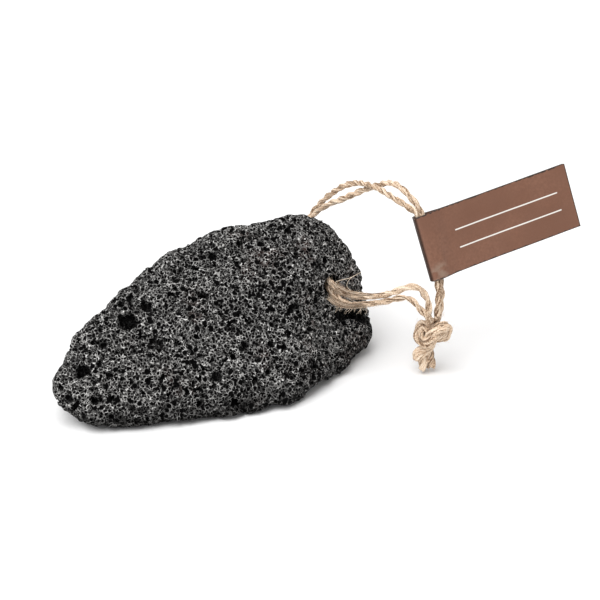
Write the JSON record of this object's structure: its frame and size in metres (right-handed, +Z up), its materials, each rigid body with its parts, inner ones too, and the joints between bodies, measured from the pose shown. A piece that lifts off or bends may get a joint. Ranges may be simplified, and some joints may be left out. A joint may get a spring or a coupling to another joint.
{
  "type": "pumice stone",
  "caption": "Dark grey frothy lava pumice stone on a knotted loop of jute twine, with a folded plain brown card tag.",
  "frame": {"origin": "on the surface the stone rests on, under the middle of the stone's box, the twine, knot and tag not counted", "axes": "+X along the stone's long axis towards its blunt, drilled end, +Y away from the sloping face with the large pits, +Z up"},
  "size_m": [0.1665, 0.0627, 0.0588],
  "materials": {
    "lava": "rough, frothy, dull, with lighter worn rims",
    "jute": "two-ply natural jute twine with loose fibres",
    "card": "brown printed card, satin"
  },
  "bodies": {
    "root": {"stone": "lava", "twine_upper": "jute", "twine_lower": "jute", "knot": "jute", "tag": "card"}
  },
  "joints": []
}
